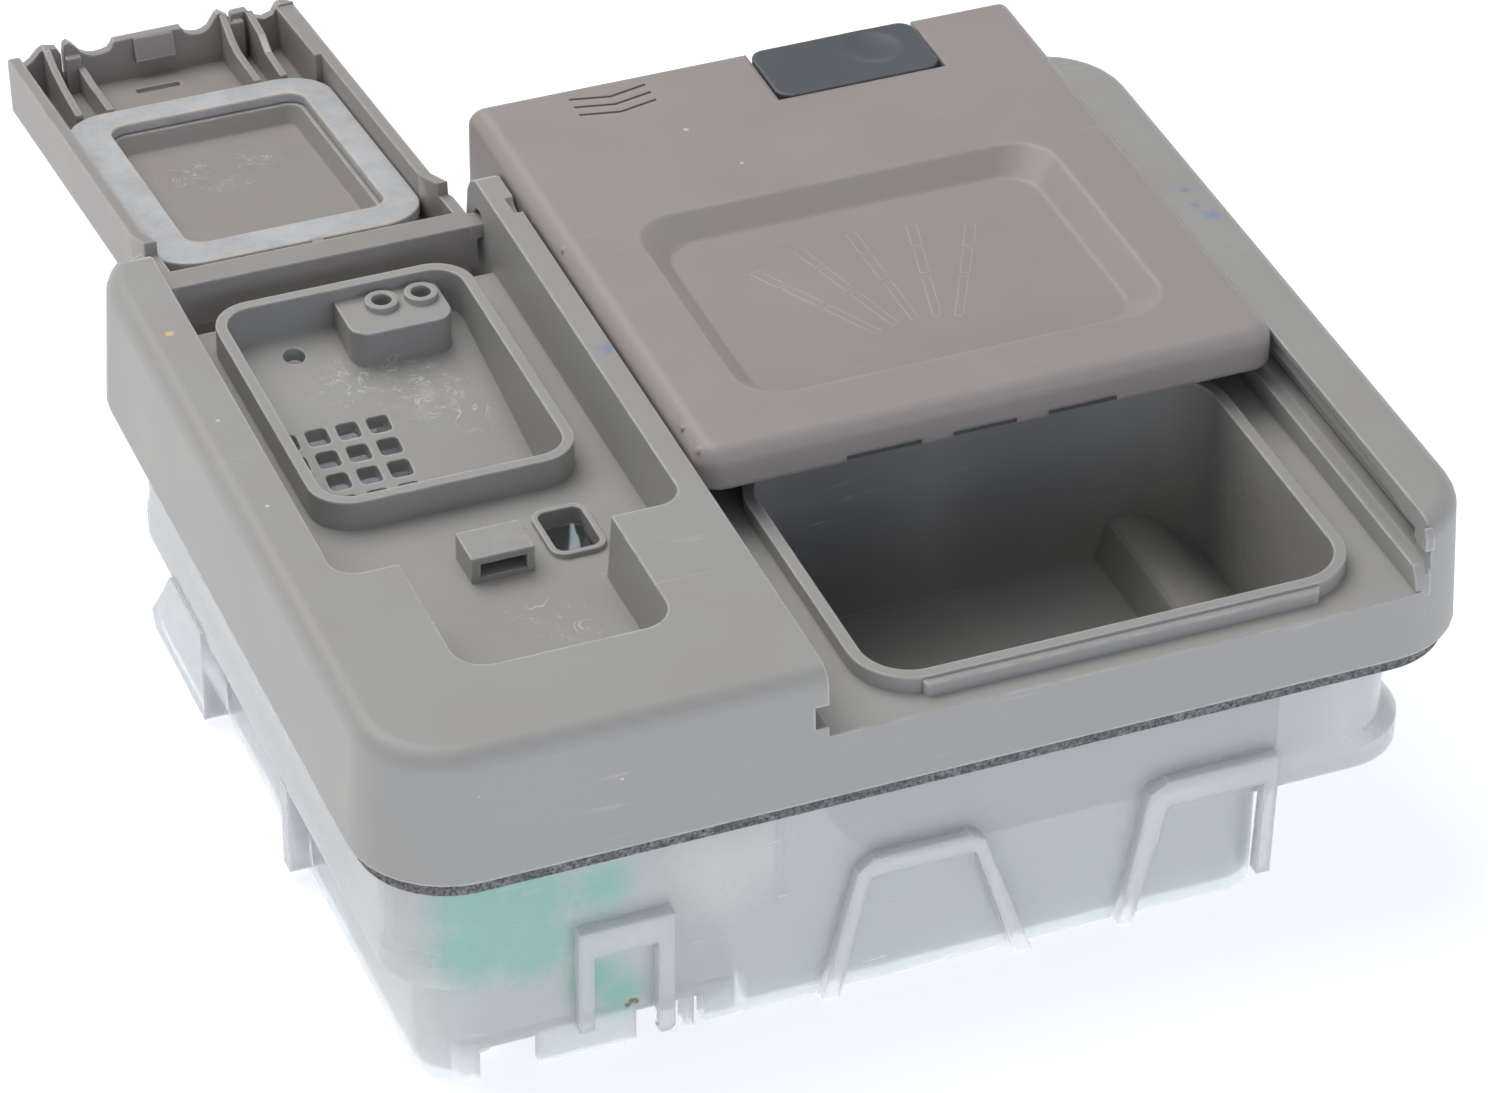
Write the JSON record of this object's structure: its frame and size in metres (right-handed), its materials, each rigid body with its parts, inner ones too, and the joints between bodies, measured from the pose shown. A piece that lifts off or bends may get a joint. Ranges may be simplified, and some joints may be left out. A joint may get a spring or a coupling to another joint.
{
  "type": "dishwasher detergent dispenser",
  "caption": "Door-mounted detergent and rinse-aid dispenser: sliding lid over a detergent chamber, hinged filler flap, see-through rear housing.",
  "frame": {"origin": "middle of the door-sealing plane, the underside of the flange seal, on the panel's centre lines", "axes": "+Z out of the door into the tub; +X from the rinse-aid side to the detergent side; +Y the way the lid slides open"},
  "size_m": [0.172, 0.2214, 0.0667],
  "materials": {
    "panel_grey": "moulded polypropylene, satin",
    "seal_black": "closed-cell foam, matt",
    "housing_clear": "milky see-through polypropylene",
    "lid_grey": "moulded polypropylene, satin",
    "lid_seal_grey": "soft elastomer",
    "button_slate": "moulded, satin",
    "spring_steel": "drawn wire",
    "flap_grey": "moulded polypropylene, satin",
    "flap_seal_blue": "soft elastomer",
    "bobbin_cream": "moulded nylon",
    "winding_copper": "enamelled copper wire",
    "yoke_steel": "zinc-plated strip",
    "drive_green": "moulded nylon",
    "plunger_steel": "turned steel",
    "lever_cream": "moulded acetal",
    "catch_white": "moulded acetal",
    "dosing_clear": "moulded polypropylene",
    "valve_grey": "moulded acetal",
    "valve_rubber": "soft elastomer",
    "float_white": "moulded foam plastic",
    "magnet_dark": "ferrite",
    "reed_glass": "glass tube",
    "contact_tin": "tin-plated brass",
    "cover_clear": "moulded polypropylene",
    "screw_steel": "zinc-plated"
  },
  "bodies": {
    "base": {"front_panel": "panel_grey", "flange_seal": "seal_black", "rear_housing": "housing_clear", "actuator_frame": "drive_green", "coil_bobbin": "bobbin_cream", "coil_winding": "winding_copper", "coil_yoke": "yoke_steel", "plunger_spring": "spring_steel", "lever_pin": "screw_steel", "catch_spring": "spring_steel", "dosing_chamber": "dosing_clear", "valve_seal": "valve_rubber", "valve_spring": "spring_steel", "reed_switch": "reed_glass", "contact_blades": "contact_tin", "service_cover": "cover_clear", "cover_screws": "screw_steel"},
    "lid": {"detergent_lid": "lid_grey", "lid_seal": "lid_seal_grey", "button_spring": "spring_steel"},
    "button": {"lid_button": "button_slate"},
    "flap": {"rinse_flap": "flap_grey", "flap_seal": "flap_seal_blue"},
    "solenoid_plunger": {"plunger": "plunger_steel"},
    "lever": {"trip_lever": "lever_cream"},
    "catch": {"catch_bar": "catch_white"},
    "valve": {"valve_stem": "valve_grey"},
    "float": {"level_float": "float_white", "float_magnet": "magnet_dark"}
  },
  "joints": [
    {"name": "lid_slide", "type": "slide", "parent": "base", "child": "lid", "axis": [0, 1, 0], "range_m": [-0.049, 0]},
    {"name": "button_press", "type": "slide", "parent": "lid", "child": "button", "axis": [0, 0, -1], "range_m": [0, 0.002], "stiffness_N_per_m": 400, "springref_m": -0.0005, "deforming": ["button_spring"]},
    {"name": "flap_hinge", "type": "hinge", "parent": "base", "child": "flap", "pos_m": [-0.0493, 0.06355, 0.0181], "axis": [1, 0, 0], "range_deg": [0, 187]},
    {"name": "plunger_slide", "type": "slide", "parent": "base", "child": "solenoid_plunger", "axis": [1, 0, 0], "range_m": [-0.003, 0], "stiffness_N_per_m": 300, "springref_m": 0.003, "deforming": ["plunger_spring"]},
    {"name": "lever_turn", "type": "hinge", "parent": "base", "child": "lever", "pos_m": [-0.026, -0.03265, -0.0072], "axis": [0, 0, 1], "range_deg": [-10.74, 0]},
    {"name": "catch_slide", "type": "slide", "parent": "base", "child": "catch", "axis": [1, 0, 0], "range_m": [0, 0.00562], "deforming": ["catch_spring"]},
    {"name": "valve_lift", "type": "slide", "parent": "base", "child": "valve", "axis": [0, 0, 1], "range_m": [0, 0.0025], "deforming": ["valve_spring"]},
    {"name": "float_rise", "type": "slide", "parent": "base", "child": "float", "axis": [0, 0, 1], "range_m": [0, 0.012]}
  ],
  "couplings": [
    {"joint": "lever_turn", "follows": "plunger_slide", "rad_per_m": 62.5},
    {"joint": "catch_slide", "follows": "plunger_slide", "ratio": -1.875},
    {"joint": "valve_lift", "follows": "plunger_slide", "ratio": -0.83333}
  ]
}
